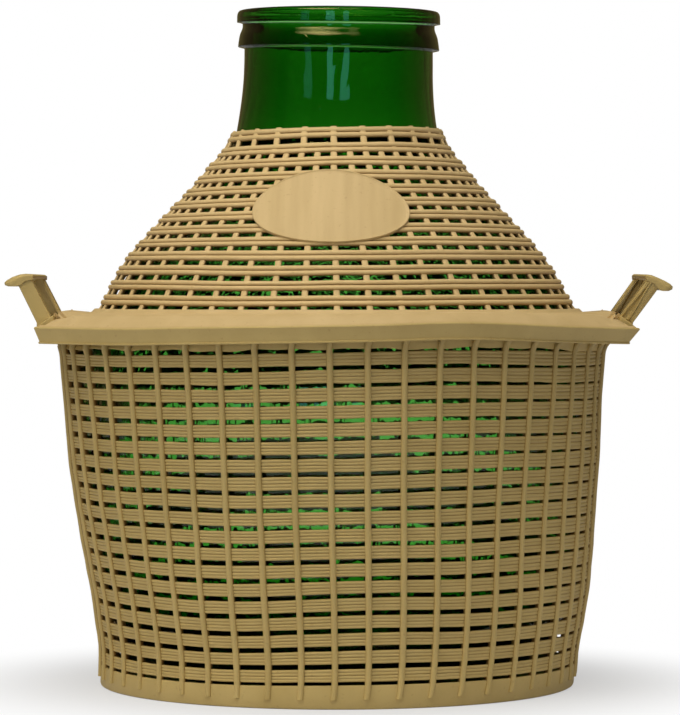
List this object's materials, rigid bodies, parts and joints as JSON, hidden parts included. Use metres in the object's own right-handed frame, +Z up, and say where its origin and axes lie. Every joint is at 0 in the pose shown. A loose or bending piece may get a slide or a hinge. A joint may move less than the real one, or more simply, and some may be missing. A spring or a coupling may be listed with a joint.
{
  "type": "wide-mouth demijohn in a plastic net basket",
  "caption": "Large glass storage bottle with a wide neck, in a moulded net basket with two handles and a conical lift-off net cover.",
  "frame": {"origin": "centre of the base, on the surface that the basket stands on", "axes": "+Z up along the bottle's axis, +X towards the right handle, +Y away from the viewer, who faces the oval plate"},
  "size_m": [0.441, 0.3802, 0.448],
  "materials": {
    "green_glass": "deep green, clear, glossy",
    "tan_plastic": "tan, slightly satin"
  },
  "bodies": {
    "basket": {"lower_basket": "tan_plastic", "handle_left": "tan_plastic", "handle_right": "tan_plastic"},
    "bottle": {"bottle": "green_glass"},
    "cover": {"top_cover": "tan_plastic"}
  },
  "joints": [
    {"name": "bottle_lift", "type": "slide", "parent": "basket", "child": "bottle", "axis": [0, 0, 1], "range_m": [0, 0.28]},
    {"name": "cover_lift", "type": "slide", "parent": "bottle", "child": "cover", "axis": [0, 0, 1], "range_m": [0, 0.22]}
  ]
}
